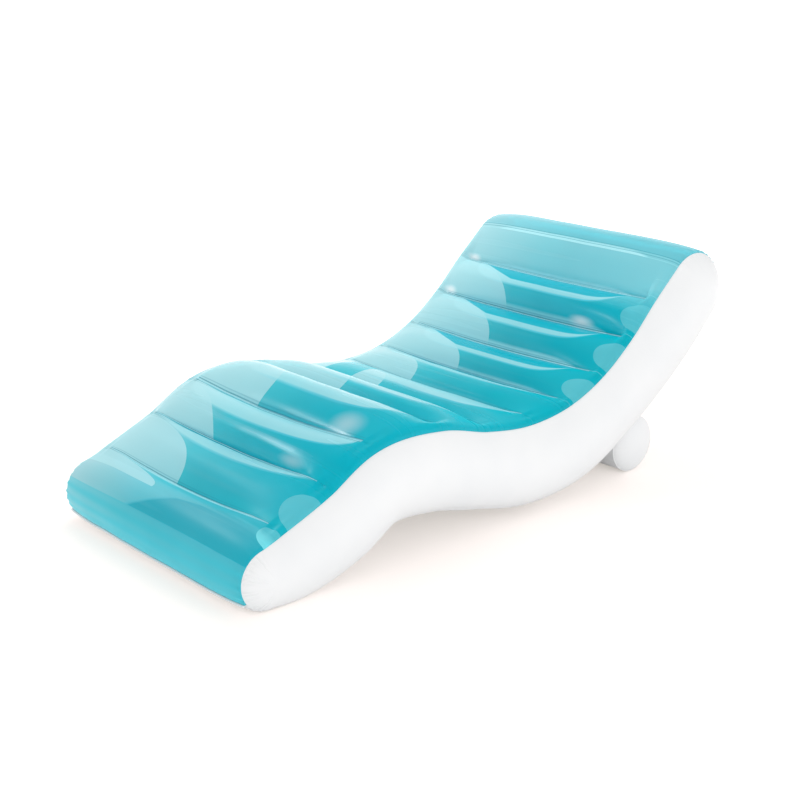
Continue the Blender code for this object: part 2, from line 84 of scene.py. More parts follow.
def spine_slopes(points):
    """The slope at each point, from a parabola through the point and its neighbours."""
    steps = np.linalg.norm(np.diff(points[:, :2], axis=0), axis=1)
    rates = np.diff(points, axis=0) / steps[:, None]
    before, after = steps[:-1, None], steps[1:, None]
    inner = (rates[:-1] * after + rates[1:] * before) / (before + after)
    return steps, np.vstack((rates[:1], inner, rates[-1:]))


SPINE_STEPS, SPINE_SLOPES = spine_slopes(SPINE)
PITCH = float(SPINE_STEPS.mean())


def spine_at(place):
    """Centre, direction along the spine and half thickness, at places counted in ribs."""
    index = np.clip(place.astype(int), 0, RIBS - 1)
    t = (place - index)[:, None]
    step = SPINE_STEPS[index][:, None]
    start, end = SPINE[index], SPINE[index + 1]
    start_slope, end_slope = SPINE_SLOPES[index] * step, SPINE_SLOPES[index + 1] * step
    value = ((2 * t ** 3 - 3 * t ** 2 + 1) * start + (t ** 3 - 2 * t ** 2 + t) * start_slope
             + (3 * t ** 2 - 2 * t ** 3) * end + (t ** 3 - t ** 2) * end_slope)
    rate = ((6 * t ** 2 - 6 * t) * (start - end) + (3 * t ** 2 - 4 * t + 1) * start_slope
            + (3 * t ** 2 - 2 * t) * end_slope)[:, :2]
    along = rate / np.linalg.norm(rate, axis=1)[:, None]
    return value[:, :2], along, value[:, 2]


print(RIBS, "ribs", round(PITCH, 4), "m apart")

# %% [markdown]
# ## Laying the spine over the frame
# The frame has its own origin, on the floor in the middle of the chair. Each baffle of the frame stands
# square on the spine at its weld, so two unknown shifts, along and up, follow from the ten baffles.

# %% The spine's shift
def node_middle(name):
    """The middle of a CAD node in side view: along and up."""
    points = np.array([vert.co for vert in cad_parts[name].data.vertices])
    return points.mean(axis=0)[[0, 2]]


weld_places = np.arange(1, RIBS)
weld_centres, weld_along = spine_at(weld_places.astype(float))[:2]
baffle_middles = np.array([node_middle(f"baffle_{number:02d}") for number in weld_places])
targets = ((baffle_middles - weld_centres) * weld_along).sum(axis=1)
SHIFT = np.linalg.lstsq(weld_along, targets, rcond=None)[0]
print("spine shift", SHIFT.round(4))

# %% [markdown]
# ## How a film swells between its welds
# Air pushes a film out into ribs, and each weld holds it down. A weld's ends lie near the seam's level
# and its middle bows down. A cloth simulation could blow the film up, but would miss the frame's welds,
# so the swell is worked out: how full each rib is, how it rounds, and how deep each weld lies.

# %% Swell and welds
SEAT, UNDERSIDE = 1, -1
SWELL = {SEAT: 0.045, UNDERSIDE: 0.022}
END_SWELL = 0.012
FOOT_WELD_BOW = 0.028
HEAD_WELD_BOW = 0.010
UNDERSIDE_WELD_BOW = 0.003
RIB_ROUNDNESS = 0.72
RIB_SHARES = {
    SEAT: (0.55, 0.90, 1.00, 1.15, 0.90, 0.85, 0.85, 0.90, 0.90, 0.85, 0.60),
    UNDERSIDE: (0.23, 0.60, 0.90, 1.00, 1.00, 1.00, 1.00, 1.20, 1.35, 1.20, 0.80),
}
WELD_END_SHARES = np.array((0.67, 0.80, 0.55, 0.16, 0.32, 0.50, 0.38, 0.30, -0.07, -0.22))
STRIP_HALF_WIDTH = 0.003
CROWN_REACH = 0.220
CROWN_POWER = 2.2
PINCH_START = 0.012


def smooth_step(share):
    share = np.clip(share, 0, 1)
    return share * share * (3 - 2 * share)


def rib_crown(inset):
    """The crown's height from the seam inwards: it rises at once, and is full far in."""
    share = 1 - np.clip(inset / CROWN_REACH, 0, 1)
    return (1 - share ** CROWN_POWER) ** (1 / CROWN_POWER)


def rib_valley(place):
    """1 on a weld, which is a flat strip, and 0 on a rib's crown. The end ribs have one weld only."""
    index = np.clip(place.astype(int), 0, RIBS - 1)
    share = place - index
    share = np.where(index == 0, 0.5 + share / 2, np.where(index == RIBS - 1, share / 2, share))
    strip = STRIP_HALF_WIDTH / PITCH
    share = 0.5 - np.clip((0.5 - np.minimum(share, 1 - share)) / (0.5 - strip), 0, 1) / 2
    return 1 - np.sin(math.pi * share) ** RIB_ROUNDNESS


def film_swell(side, place, end_share, across):
    """How far the film stands out past the seam's level."""
    inset = SEAM_HALF_WIDTH - np.abs(across)
    fullness = SWELL[side] * np.interp(place - 0.5, np.arange(RIBS), RIB_SHARES[side])
    crown = (fullness * (1 - end_share) + END_SWELL * end_share) * rib_crown(inset)
    pinch = smooth_step((inset - PINCH_START) / (WELD_INSET - PINCH_START))
    middle_share = np.clip(1 - (across / WELD_HALF_WIDTH) ** 2, 0, 1)
    if side == SEAT:
        weld = np.clip(np.round(place), 1, RIBS - 1).astype(int)
        ends = np.minimum(SWELL[SEAT] * WELD_END_SHARES[weld - 1], crown)
        bow = FOOT_WELD_BOW * (1 - weld / RIBS) + HEAD_WELD_BOW * weld / RIBS
    else:
        ends, bow = 0, UNDERSIDE_WELD_BOW
    valley = np.where(end_share > 0, 0, rib_valley(place))
    return crown + (ends * pinch - bow * middle_share - crown) * valley * pinch


crest_swell = film_swell(SEAT, np.array([6.5]), np.zeros(1), np.zeros(1))
print("the seat's middle rib stands", round(crest_swell[0], 3), "m past the seam")

# %% [markdown]
# ## Wrinkles, puckers and slow waves
# Where a weld ends, the film is pinched, and short wrinkles fan out from it. A seam draws puckers, and no
# film is quite even. Each is a sum of a few waves, so it comes out the same in each run.

# %% Wrinkles, puckers and slow waves
WRINKLE_DEPTH = 0.0008
WRINKLE_START = 0.008
WRINKLE_REACH = 0.026
WRINKLE_SPREAD = 1.6
WRINKLE_COUNTS = (7, 12)
WRINKLE_SHIFTS = (1.7, 2.9)
FINE_SHARE = 0.6
PUCKER_DEPTH = 0.0006
PUCKER_START = 0.003
PUCKER_REACH = 0.014
PUCKER_COUNTS = (47, 83)
FINE_PUCKER_SHARE = 0.5
END_PUCKER_GAIN = 4
UNEVENNESS = 0.0016


def wrinkle_fans(place, across):
    """Short wrinkles that fan out from the ends of the welds."""
    weld = np.clip(np.round(place), 1, RIBS - 1)
    along = (place - weld) * PITCH
    out = np.abs(across) - WELD_HALF_WIDTH
    reach = np.hypot(along, out)
    angle = np.arctan2(along, out)
    coarse = np.cos(angle * WRINKLE_COUNTS[0] + weld * WRINKLE_SHIFTS[0] + np.sign(across))
    fine = np.cos(angle * WRINKLE_COUNTS[1] + weld * WRINKLE_SHIFTS[1])
    fade = np.exp(-reach / WRINKLE_REACH) * smooth_step(reach / WRINKLE_START)
    fade *= smooth_step(WRINKLE_SPREAD - np.abs(angle))
    return WRINKLE_DEPTH * (coarse + FINE_SHARE * fine) * fade


def seam_puckers(count, across, end_share):
    """Small puckers beside the side seams, deeper round the foot and the head."""
    inset = SEAM_HALF_WIDTH - np.abs(across)
    coarse = np.sin(count * PUCKER_COUNTS[0] + np.sign(across))
    pucker = coarse + FINE_PUCKER_SHARE * np.sin(count * PUCKER_COUNTS[1])
    edge = np.exp(-inset / PUCKER_REACH) * smooth_step(inset / PUCKER_START)
    return PUCKER_DEPTH * pucker * edge * (1 + END_PUCKER_GAIN * end_share)


def unevenness(points, scale):
    """Slow waves in the film, the same in each run."""
    return UNEVENNESS * np.array([noise.noise(Vector(point) * scale) for point in points])


# %% [markdown]
# ## A film as a grid
# A flat grid has rows along the chair and columns across it. Each vertex is moved to its place: round
# the foot, then rib by rib, and round the head to the seam at its rear. The grid's own coordinates are
# kept as a UV map, counted in ribs and metres, so that a print can follow the film.

# %% Grid helpers
def deselect_all():
    bpy.ops.object.select_all(action="DESELECT")


def add_grid(name, rows, columns):
    """A grid object and its vertices' shares along and across, from 0 to 1."""
    deselect_all()
    bpy.ops.mesh.primitive_grid_add(x_subdivisions=columns, y_subdivisions=rows, size=1)
    piece = bpy.context.object
    piece.name = name
    piece.data.name = name
    points = np.empty(len(piece.data.vertices) * 3)
    piece.data.vertices.foreach_get("co", points)
    points = points.reshape(-1, 3)
    return piece, points[:, 1] + 0.5, points[:, 0] + 0.5


def place_vertices(piece, points, along, across, outward=None):
    """Moves the vertices, keeps the film's own coordinates as its UV map, and turns the faces outwards."""
    mesh = piece.data
    mesh.vertices.foreach_set("co", points.reshape(-1))
    corners = np.empty(len(mesh.loops), dtype=int)
    mesh.loops.foreach_get("vertex_index", corners)
    uv = np.stack((along[corners], across[corners]), axis=1)
    mesh.uv_layers[0].name = "film"
    mesh.uv_layers["film"].data.foreach_set("uv", uv.reshape(-1))
    mesh.update()
    if outward is not None:
        normals = np.empty(len(mesh.vertices) * 3)
        mesh.vertex_normals.foreach_get("vector", normals)
        if (normals.reshape(-1, 3) * outward).sum() < 0:
            mesh.flip_normals()
    mesh.shade_smooth()
    print(piece.name, len(mesh.vertices), "vertices")


def to_space(side_view, across):
    """Points or directions in side view, along and up, set at their places across."""
    return np.stack((side_view[:, 0], across, side_view[:, 1]), axis=1)


# %% A film's shape
# Rows lie closer together near a weld, and columns near the seam, where the film bends most.
WELD_CROWDING = 0.82
SEAM_CROWDING = 0.45
SEAM_FADE = 0.02
FILM_WAVE_SCALE = 9.0


def film_reaches(side):
    """How far a film runs past the first and last spine points, as angles and counted in ribs."""
    foot_angle = FOOT_SEAM_ANGLE if side == SEAT else math.pi - FOOT_SEAM_ANGLE
    head_angle = HEAD_SEAM_ANGLE if side == SEAT else math.pi - HEAD_SEAM_ANGLE
    return foot_angle, head_angle, foot_angle * SPINE[0, 2] / PITCH, head_angle * SPINE[-1, 2] / PITCH


def film_frame(side, count):
    """What a film is set off from, at places counted in ribs.

    Gives the centre, outward direction, half thickness, spine place, share round an end, and count.
    """
    foot_angle, head_angle, foot_reach, head_reach = film_reaches(side)
    crowded = count - WELD_CROWDING * np.sin(2 * math.pi * count) / (2 * math.pi)
    count = np.where((count > 0) & (count < RIBS), crowded, count)
    place = np.clip(count, 0, RIBS)
    centre, along, half = spine_at(place)
    foot_share = np.clip(-count / foot_reach, 0, 1)
    head_share = np.clip((count - RIBS) / head_reach, 0, 1)
    angle = head_angle * head_share - foot_angle * foot_share
    normal = np.stack((-along[:, 1], along[:, 0]), axis=1) * side
    outward = normal * np.cos(angle)[:, None] + along * np.sin(angle)[:, None]
    return centre + SHIFT, outward, half, place, foot_share + head_share, count


def film_points(side, count, across):
    """The film's points, the outward directions there, and the crowded count."""
    centre, outward, half, place, end_share, count = film_frame(side, count)
    inner = smooth_step((SEAM_HALF_WIDTH - np.abs(across)) / SEAM_FADE)
    distance = half + film_swell(side, place, end_share, across)
    distance += wrinkle_fans(place, across) * inner * (end_share == 0)
    distance += seam_puckers(count, across, end_share)
    points = to_space(centre + outward * distance[:, None], across)
    direction = to_space(outward, np.zeros(len(across)))
    points += direction * (unevenness(points, FILM_WAVE_SCALE) * inner)[:, None]
    points[:, 2] = np.maximum(points[:, 2], 0)
    return points, direction, count


def make_film(name, side, rows, columns):
    piece, along_share, across_share = add_grid(name, rows, columns)
    even = across_share * 2 - 1
    across = SEAM_HALF_WIDTH * (even + SEAM_CROWDING * np.sin(math.pi * even) / math.pi)
    foot_reach, head_reach = film_reaches(side)[2:]
    count = along_share * (RIBS + foot_reach + head_reach) - foot_reach
    points, direction, count = film_points(side, count, across)
    place_vertices(piece, points, count, across, direction)
    return piece


# %% The top and bottom films
top_film = make_film("top_film", SEAT, 480, 180)
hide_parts("top_sheet")
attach(top_film, "chair")

bottom_film = make_film("bottom_film", UNDERSIDE, 400, 120)
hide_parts("bottom_sheet")
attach(bottom_film, "chair")
white_pieces = [bottom_film]

# %% [markdown]
# ## The domed side walls
# A side wall is one piece of white film, cut to the outline that the two other films end on. Air domes
# it, and where its outline turns sharply, round the foot and the head, the seam gathers it in puckers.
# Here it is a grid of rings that shrink from the outline to the wall's middle line, so its edge meets
# the other films all round, and the puckers can follow the seam.

# %% The outline of a wall
SPINE_ROWS = 330
END_ROWS_PER_RADIAN = 55


def wall_outline():
    """Row numbers at the turns of a wall's outline, with the places in ribs and the metres there."""
    rows, places, metres = [0], [], [0.0]
    for side in (SEAT, UNDERSIDE):
        foot_angle, head_angle, foot_reach, head_reach = film_reaches(side)
        foot_rows, head_rows = (round(angle * END_ROWS_PER_RADIAN) for angle in (foot_angle, head_angle))
        # The bottom film runs back, so its lists are turned round: side is -1 there.
        places.append([-foot_reach, 0, RIBS, RIBS + head_reach][::side])
        rows += [foot_rows, SPINE_ROWS, head_rows][::side]
        metres += [foot_reach * PITCH, SPINE_STEPS.sum(), head_reach * PITCH][::side]
    return np.cumsum(rows), places, np.cumsum(metres)


def wall_frame(row, turns, places):
    """The films' frame round a wall's outline: out along the top film, and back along the bottom one."""
    on_seat = row <= turns[3] + 0.5
    seat = film_frame(SEAT, np.interp(row, turns[:4], places[0]))[:5]
    underside = film_frame(UNDERSIDE, np.interp(row, turns[3:], places[1]))[:5]
    return [np.where(on_seat if a.ndim == 1 else on_seat[:, None], a, b) for a, b in zip(seat, underside)]


print("a wall's outline is", round(wall_outline()[2][-1], 3), "m round")

# %% The side walls
WALL_BULGE = 0.055
WALL_ROUNDNESS = 0.75
WALL_RINGS = 26
WALL_FADE = 0.03
WALL_WAVE_SCALE = 7.0
SEAM_GAP = 0.0002
CREASE_STEP = 0.0145
CREASE_DRIFT = ((0.35, 61), (0.2, 173))
CREASE_DEPTH = 0.0060
CREASE_REACH = 0.017
CREASE_SHARPNESS = 1.6
CREASE_FADE = 0.012
STRAIGHT_GATHER = 0.05
HEAD_GATHER = 0.6
END_RISE = 5


def seam_creases(metres, inset):
    """Creases across a seam, at uneven steps and of uneven reach: 1 at their bottom, 0 between them."""
    phase = metres / CREASE_STEP + sum(share * np.sin(metres * turns) for share, turns in CREASE_DRIFT)
    crease = (1 - np.abs(np.sin(math.pi * phase))) ** CREASE_SHARPNESS
    reach = CREASE_REACH * (1 + 0.5 * np.sin(metres * 97))
    return crease * np.exp(-inset / reach) * smooth_step(inset / PUCKER_START)


def close_doubles(piece):
    """Merges vertices that lie on each other, where a grid closes on itself or runs into a pole."""
    deselect_all()
    piece.select_set(True)
    bpy.context.view_layer.objects.active = piece
    bpy.ops.object.mode_set(mode="EDIT")
    bpy.ops.mesh.select_all(action="SELECT")
    bpy.ops.mesh.remove_doubles(threshold=0.00005)
    bpy.ops.mesh.select_all(action="DESELECT")
    bpy.ops.object.mode_set(mode="OBJECT")


def make_side_wall(name, hand):
    """The left wall, with hand -1, or the right one, with hand 1."""
    turns, places, lengths = wall_outline()
    piece, around_share, ring_share = add_grid(name, int(turns[-1]), WALL_RINGS)
    row = around_share * turns[-1]
    metres = np.interp(row, turns, lengths)
    centre, outward, half, place, end_share = wall_frame(row, turns, places)
    share = np.sin(math.pi / 2 * (1 - ring_share))
    inset = (1 - share) * half
    dome = WALL_BULGE * half / (THICKNESS / 2) * np.clip(1 - share ** 2, 0, 1) ** WALL_ROUNDNESS
    gathered = STRAIGHT_GATHER + smooth_step(end_share * END_RISE) * np.where(place < 1, 1, HEAD_GATHER)
    gathered *= smooth_step(np.minimum(metres, lengths[-1] - metres) / CREASE_FADE)
    dome -= CREASE_DEPTH * gathered * seam_creases(metres, inset)
    across = hand * (SEAM_HALF_WIDTH + SEAM_GAP + dome)
    points = to_space(centre + outward * (half * share)[:, None], across)
    points[:, 1] += hand * unevenness(points, WALL_WAVE_SCALE) * smooth_step(inset / WALL_FADE)
    place_vertices(piece, points, metres, inset, (0, hand, 0))
    close_doubles(piece)
    return piece


for side_name, hand in (("left", -1), ("right", 1)):
    wall = make_side_wall(f"{side_name}_wall_film", hand)
    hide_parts(f"side_wall_{side_name}")
    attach(wall, "chair")
    white_pieces.append(wall)

# %% [markdown]
# ## The trimmed edges at the foot and the head
# Where the aqua film and the white one meet at the two ends, they are welded flat together and trimmed,
# so a narrow white lip stands out from the seam. A strip of grid starts at the film's last row, and a
# Solidify modifier gives it the thickness of two films.

# %% The seam lips
LIP_WIDTH = 0.007
LIP_THICKNESS = 0.0009
LIP_OVERLAP = 0.0004
LIP_END_ROOM = 0.002


def make_seam_lip(name, count):
    piece, out_share, across_share = add_grid(name, 2, 240)
    across = (across_share * 2 - 1) * (SEAM_HALF_WIDTH - LIP_END_ROOM)
    points, direction = film_points(SEAT, np.full(len(across), count), across)[:2]
    points += direction * (LIP_WIDTH * out_share - LIP_OVERLAP)[:, None]
    points[:, 2] = np.maximum(points[:, 2], LIP_THICKNESS)
    place_vertices(piece, points, out_share * LIP_WIDTH, across)
    bpy.ops.object.modifier_add(type="SOLIDIFY")
    piece.modifiers[0].thickness = LIP_THICKNESS
    piece.modifiers[0].offset = 0
    bpy.ops.object.modifier_apply(modifier=piece.modifiers[0].name)
    return piece


foot_reach, head_reach = film_reaches(SEAT)[2:]
for end_name, count in (("foot", -foot_reach), ("head", RIBS + head_reach)):
    lip = make_seam_lip(f"{end_name}_seam_lip", count)
    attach(lip, "chair")
    white_pieces.append(lip)

# %% [markdown]
# ## The baffles
# Under each weld stands an upright strip of aqua film that ties the two big films together. It shows
# through the tinted top film as a dark band, which the top film deepens with a band of painted shade, and
# its tension draws slight upright folds in it. A grid between the two films at a weld, moved along the
# chair by two waves, gives both.

# %% The baffles
FOLD_DEPTH = 0.0022
FOLD_COUNTS = (92, 151)
BAFFLE_ROOM = 0.0012
BAFFLE_END_ROOM = 0.001


def make_baffle(number):
    piece, up_share, across_share = add_grid(f"baffle_film_{number:02d}", 14, 120)
    across = (across_share * 2 - 1) * (WELD_HALF_WIDTH - BAFFLE_END_ROOM)
    place = np.full(len(across), float(number))
    centre, along, half = spine_at(place)
    normal = np.stack((-along[:, 1], along[:, 0]), axis=1)
    zero = np.zeros(len(across))
    top = half + film_swell(SEAT, place, zero, across) - BAFFLE_ROOM
    bottom = -(half + film_swell(UNDERSIDE, place, zero, across) - BAFFLE_ROOM)
    height = bottom + (top - bottom) * up_share
    coarse = np.sin(across * FOLD_COUNTS[0] + number)
    fine = np.sin(across * FOLD_COUNTS[1] + 2 * number)
    folds = FOLD_DEPTH * (coarse + FINE_SHARE * fine) * np.sin(math.pi * up_share)
    points = to_space(centre + SHIFT + normal * height[:, None] + along * folds[:, None], across)
    points[:, 2] = np.maximum(points[:, 2], BAFFLE_ROOM)
    place_vertices(piece, points, up_share, across)
    return piece


baffles = []
for number in range(1, RIBS):
    baffle = make_baffle(number)
    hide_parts(f"baffle_{number:02d}")
    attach(baffle, "chair")
    baffles.append(baffle)

# %% [markdown]
# ## The bolster
# A round white tube of film lies under the back, with a domed cap at each end. The weld between tube and
# cap stands up as a thin ring, and the film gathers beside it. A cylinder would look stiff, so the tube
# and the caps are grids too, bent round the axis of the frame's own tube.

# %% The bolster's tube
BOLSTER_RADIUS = 0.0925
TUBE_HALF_LENGTH = 0.380
AROUND_ROWS = 180
tube_low, tube_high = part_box("bolster_tube")
BOLSTER_X = (tube_low.x + tube_high.x) / 2
BOLSTER_Z = BOLSTER_RADIUS
GATHER_REACH = 0.03
GATHER_DEPTH = 0.0007
GATHER_COUNTS = (23, 37)
WELD_NECK = 0.0012
SLACK = 0.0015
SLACK_START, SLACK_LENGTH = 0.2, 0.18


def bolster_point(angle, radius, across):
    """A point on the bolster, flat where it stands on the floor."""
    x = BOLSTER_X + radius * np.cos(angle)
    z = np.maximum(BOLSTER_Z + radius * np.sin(angle), 0)
    return np.stack((x, across, z), axis=1)


def make_bolster_tube():
    piece, around, across_share = add_grid("bolster_tube_film", AROUND_ROWS, 140)
    across = (across_share * 2 - 1) * TUBE_HALF_LENGTH
    angle = around * 2 * math.pi
    end = (TUBE_HALF_LENGTH - np.abs(across)) / GATHER_REACH
    coarse = np.cos(angle * GATHER_COUNTS[0] + np.sign(across))
    gather = coarse + FINE_SHARE * np.cos(angle * GATHER_COUNTS[1])
    radius = BOLSTER_RADIUS - WELD_NECK * np.exp(-end * 2)
    radius += GATHER_DEPTH * gather * np.exp(-end) * smooth_step(end * 6)
    radius -= SLACK * smooth_step((np.abs(across) - SLACK_START) / SLACK_LENGTH)
    points = bolster_point(angle, radius, across)
    outward = points - (BOLSTER_X, 0, BOLSTER_Z)
    outward[:, 1] = 0
    place_vertices(piece, points, angle * BOLSTER_RADIUS, across, outward)
    close_doubles(piece)
    return piece


# %% The bolster's caps and weld rings
CAP_BULGE = 0.034
CAP_ROUNDNESS = 0.72
CAP_INSET = 0.0025
CAP_GAP = 0.0005
CAP_GATHER_DEPTH = 0.0009
CAP_GATHER_START = 0.004
CAP_GATHER_REACH = 0.012
CAP_GATHER_COUNTS = (23, 41)
RING_RADIUS = 0.0016
RING_INSET = 0.0008


def make_bolster_cap(name, hand):
    piece, around, ring = add_grid(name, AROUND_ROWS, 24)
    angle = around * 2 * math.pi
    share = 1 - ring
    edge = (1 - share) * BOLSTER_RADIUS
    radius = (BOLSTER_RADIUS - CAP_INSET) * share
    dome = CAP_BULGE * np.clip(1 - share ** 2, 0, 1) ** CAP_ROUNDNESS
    fine = np.cos(angle * CAP_GATHER_COUNTS[1] + 1)
    gather = np.cos(angle * CAP_GATHER_COUNTS[0]) + FINE_SHARE * fine
    fade = np.exp(-edge / CAP_GATHER_REACH) * smooth_step(edge / CAP_GATHER_START)
    dome += CAP_GATHER_DEPTH * gather * fade
    points = bolster_point(angle, radius, hand * (TUBE_HALF_LENGTH + CAP_GAP + dome))
    place_vertices(piece, points, angle * BOLSTER_RADIUS, edge, (0, hand, 0))
    close_doubles(piece)
    return piece


def make_weld_ring(name, hand):
    deselect_all()
    bpy.ops.mesh.primitive_torus_add(
        major_segments=160, minor_segments=10, major_radius=BOLSTER_RADIUS - RING_RADIUS - RING_INSET,
        minor_radius=RING_RADIUS, location=(BOLSTER_X, hand * TUBE_HALF_LENGTH, BOLSTER_Z),
        rotation=(math.pi / 2, 0, 0))
    ring = bpy.context.object
    ring.name = name
    bpy.ops.object.transform_apply(location=True, rotation=True, scale=True)
    bpy.ops.object.shade_smooth()
    print(name, len(ring.data.vertices), "vertices")
    return ring


bolster_tube = make_bolster_tube()
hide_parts("bolster_tube")
bolster_pieces = [bolster_tube]
for side_name, hand in (("left", -1), ("right", 1)):
    cap = make_bolster_cap(f"bolster_{side_name}_cap_film", hand)
    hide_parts(f"bolster_cap_{side_name}")
    bolster_pieces += [cap, make_weld_ring(f"bolster_{side_name}_weld_ring", hand)]
for piece in bolster_pieces:
    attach(piece, "chair")
white_pieces += bolster_pieces

# %% [markdown]
# ## Finishes
# Two films make the chair. The white one is opaque and satin. The aqua one is tinted and see-through:
# part of the light passes, coloured, and part comes back from its printed, glossy face. The formulas for
# its bands and lines are long, so a small class lets a sum of nodes be written as a sum.

# %% Shader helpers
class Value:
    """A node's output that can stand in a formula, where each step adds a Math node.

    a | b is the larger one. With masks, a * b is where both are, and a | b where either is.
    """

    def __init__(self, socket):
        self.socket = socket

    def __add__(self, other):
        return maths("ADD", self, other)

    def __sub__(self, other):
        return maths("SUBTRACT", self, other)

    def __rsub__(self, other):
        return maths("SUBTRACT", other, self)

    def __mul__(self, other):
        return maths("MULTIPLY", self, other)

    def __truediv__(self, other):
        return maths("DIVIDE", self, other)

    def __pow__(self, other):
        return maths("POWER", self, other)

    def __or__(self, other):
        return maths("MAXIMUM", self, other)

    def __abs__(self):
        return maths("ABSOLUTE", self)

    def __lt__(self, other):
        return maths("LESS_THAN", self, other)

    def __gt__(self, other):
        return maths("GREATER_THAN", self, other)


def feed(socket, item):
    """Gives a node's input a number, a colour, a vector or another node's output."""
    if isinstance(item, Value):
        item = item.socket
    if isinstance(item, bpy.types.NodeSocket):
        socket.id_data.links.new(item, socket)
    elif socket.type == "RGBA":
        socket.default_value = (*item, 1)
    else:
        socket.default_value = item


def add_node(tree, kind, inputs, **options):
    """Adds a node, sets its options, and feeds its inputs, each by its name or number."""
    node = tree.nodes.new(f"ShaderNode{kind}")
    for name, option in options.items():
        setattr(node, name, option)
    for name, item in inputs.items():
        feed(node.inputs[name], item)
    return node


def tree_of(*items):
    return next(item.socket.id_data for item in items if isinstance(item, Value))


def maths(operation, *inputs):
    """A Math node, with each input a number or another node's output."""
    node = add_node(tree_of(*inputs), "Math", dict(enumerate(inputs)), operation=operation)
    return Value(node.outputs["Value"])


def ramp(factor, *stops):
    """A colour ramp through (place, grey) or (place, colour) stops."""
    node = add_node(tree_of(factor), "ValToRGB", {"Fac": factor})
    elements = node.color_ramp.elements
    while len(elements) < len(stops):
        elements.new(0.5)
    for element, (place, colour) in zip(elements, stops):
        element.position = place
        element.color = (colour, colour, colour, 1) if isinstance(colour, float) else (*colour, 1)
    return Value(node.outputs["Color"])


def mix_colours(factor, first, second, blend_type="MIX"):
    inputs = {"Factor": factor, "A": first, "B": second}
    tree = tree_of(factor, first, second)
    return Value(add_node(tree, "Mix", inputs, data_type="RGBA", blend_type=blend_type).outputs["Result"])


def mix_shaders(tree, factor, first, second):
    return add_node(tree, "MixShader", {"Fac": factor, 1: first.outputs[0], 2: second.outputs[0]})


# %% Helpers for materials and node groups
def new_material(name):
    """A material and its node tree, with nothing in it yet."""
    material = bpy.data.materials.new(name)
    material.use_nodes = True
    material.node_tree.nodes.clear()
    return material, material.node_tree


def new_group(name, inputs, outputs):
    """A node group with inputs that are each a Float or a Vector. Gives it, its inputs and its result."""
    group = bpy.data.node_groups.new(name, "ShaderNodeTree")
    for socket, kind in inputs.items():
        group.interface.new_socket(socket, in_out="INPUT", socket_type=f"NodeSocket{kind}")
    for socket in outputs:
        group.interface.new_socket(socket, in_out="OUTPUT", socket_type="NodeSocketFloat")
    given = group.nodes.new("NodeGroupInput").outputs
    return group, [Value(given[name]) for name in inputs], group.nodes.new("NodeGroupOutput").inputs


def place_group(tree, group, **inputs):
    """Places a node group, with Along=... for its input Along, and gives a list of its outputs."""
    return [Value(socket) for socket in add_node(tree, "Group", inputs, node_tree=group).outputs]


def use_material(piece, material):
    piece.data.materials.clear()
    piece.data.materials.append(material)


# %% [markdown]
# ## White film and the valves' vinyl
# Both are soft vinyl, never quite even: colour and gloss change in faint clouds, and a fine grain dents
# it. The clouds are one node group, placed in each material with its own scale. The white film is satin.
# The valves are moulded, bluer and glossier, and keep their CAD meshes.

# %% Vinyl
def cloud_group():
    """Soft clouds, or a fine grain where the scale is high."""
    inputs = {"Place": "Vector", "Scale": "Float"}
    group, (place, scale), result = new_group("vinyl_clouds", inputs, ["Cloud"])
    cloud = add_node(group, "TexNoise", {"Vector": place, "Scale": scale})
    feed(result["Cloud"], cloud.outputs["Fac"])
    return group


vinyl_clouds = cloud_group()


def make_vinyl(name, scales, colours, roughness, dents, specular):
    """Vinyl with clouds and a grain at two scales, its colours and its roughness each from low to high."""
    material, tree = new_material(name)
    place = add_node(tree, "TexCoord", {}).outputs["Object"]
    cloud, grain = (place_group(tree, vinyl_clouds, Place=place, Scale=scale)[0] for scale in scales)
    strength, distance = dents
    bump = add_node(tree, "Bump", {"Strength": strength, "Distance": distance, "Height": grain})
    shader = add_node(tree, "BsdfPrincipled", {
        "Base Color": ramp(cloud, (0.3, colours[0]), (0.7, colours[1])),
        "Roughness": ramp(cloud, (0.3, roughness[0]), (0.7, roughness[1])),
        "Specular IOR Level": specular,
        "Normal": bump.outputs["Normal"],
    })
    add_node(tree, "OutputMaterial", {"Surface": shader.outputs["BSDF"]})
    return material


white_film = make_vinyl("white_film", (7.0, 900.0), ((0.87, 0.88, 0.89), (0.90, 0.905, 0.91)),
                        (0.34, 0.44), dents=(0.12, 0.0004), specular=0.35)
valve_vinyl = make_vinyl("valve_vinyl", (160.0, 160.0), ((0.60, 0.76, 0.80), (0.68, 0.82, 0.85)),
                         (0.24, 0.36), dents=(0.15, 0.0002), specular=0.5)
for piece in white_pieces + [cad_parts["bolster_weld_strip"]]:
    use_material(piece, white_film)
valve_nodes = [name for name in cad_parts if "valve" in name]
for name in valve_nodes:
    use_material(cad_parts[name], valve_vinyl)
print("valve pieces", valve_nodes)

# %% [markdown]
# ## The print
# Such a film is printed before it is cut. This print is a plain one: a pale scallop from the far seam on
# each rib, and a half-moon by the near seam on some. A node group draws them as ellipses in the film's
# own coordinates, so they stay on the film and need no image.

# %% The print
FILM_INPUTS = {"Along": "Float", "Across": "Float"}
SCALLOP_MIDDLE = 0.008
SCALLOP_HALF_WIDTH = 0.150
SCALLOP_REACH = 0.36
SCALLOP_VARIATION = 0.035
SCALLOP_TURN = 1.9
MOON_MIDDLE = 0.075
MOON_HALF_ALONG = 0.054
MOON_HALF_ACROSS = 0.070
FOOT_MOONS_END = 2.0
BACK_MOONS_START = 7.0
# The first rib is a short one, so its half-moon is wider when it is counted in ribs.
FIRST_MOON_SHIFT = 0.009
FIRST_MOON_WIDER = 0.028
FIRST_MOON_LOWER = 0.014


def inside_ellipse(x, y, middle_x, half_x, half_y):
    """1 inside an ellipse whose middle lies at middle_x and at y = 0."""
    x = (x - middle_x) / half_x
    y = y / half_y
    return (x * x + y * y) < 1.0


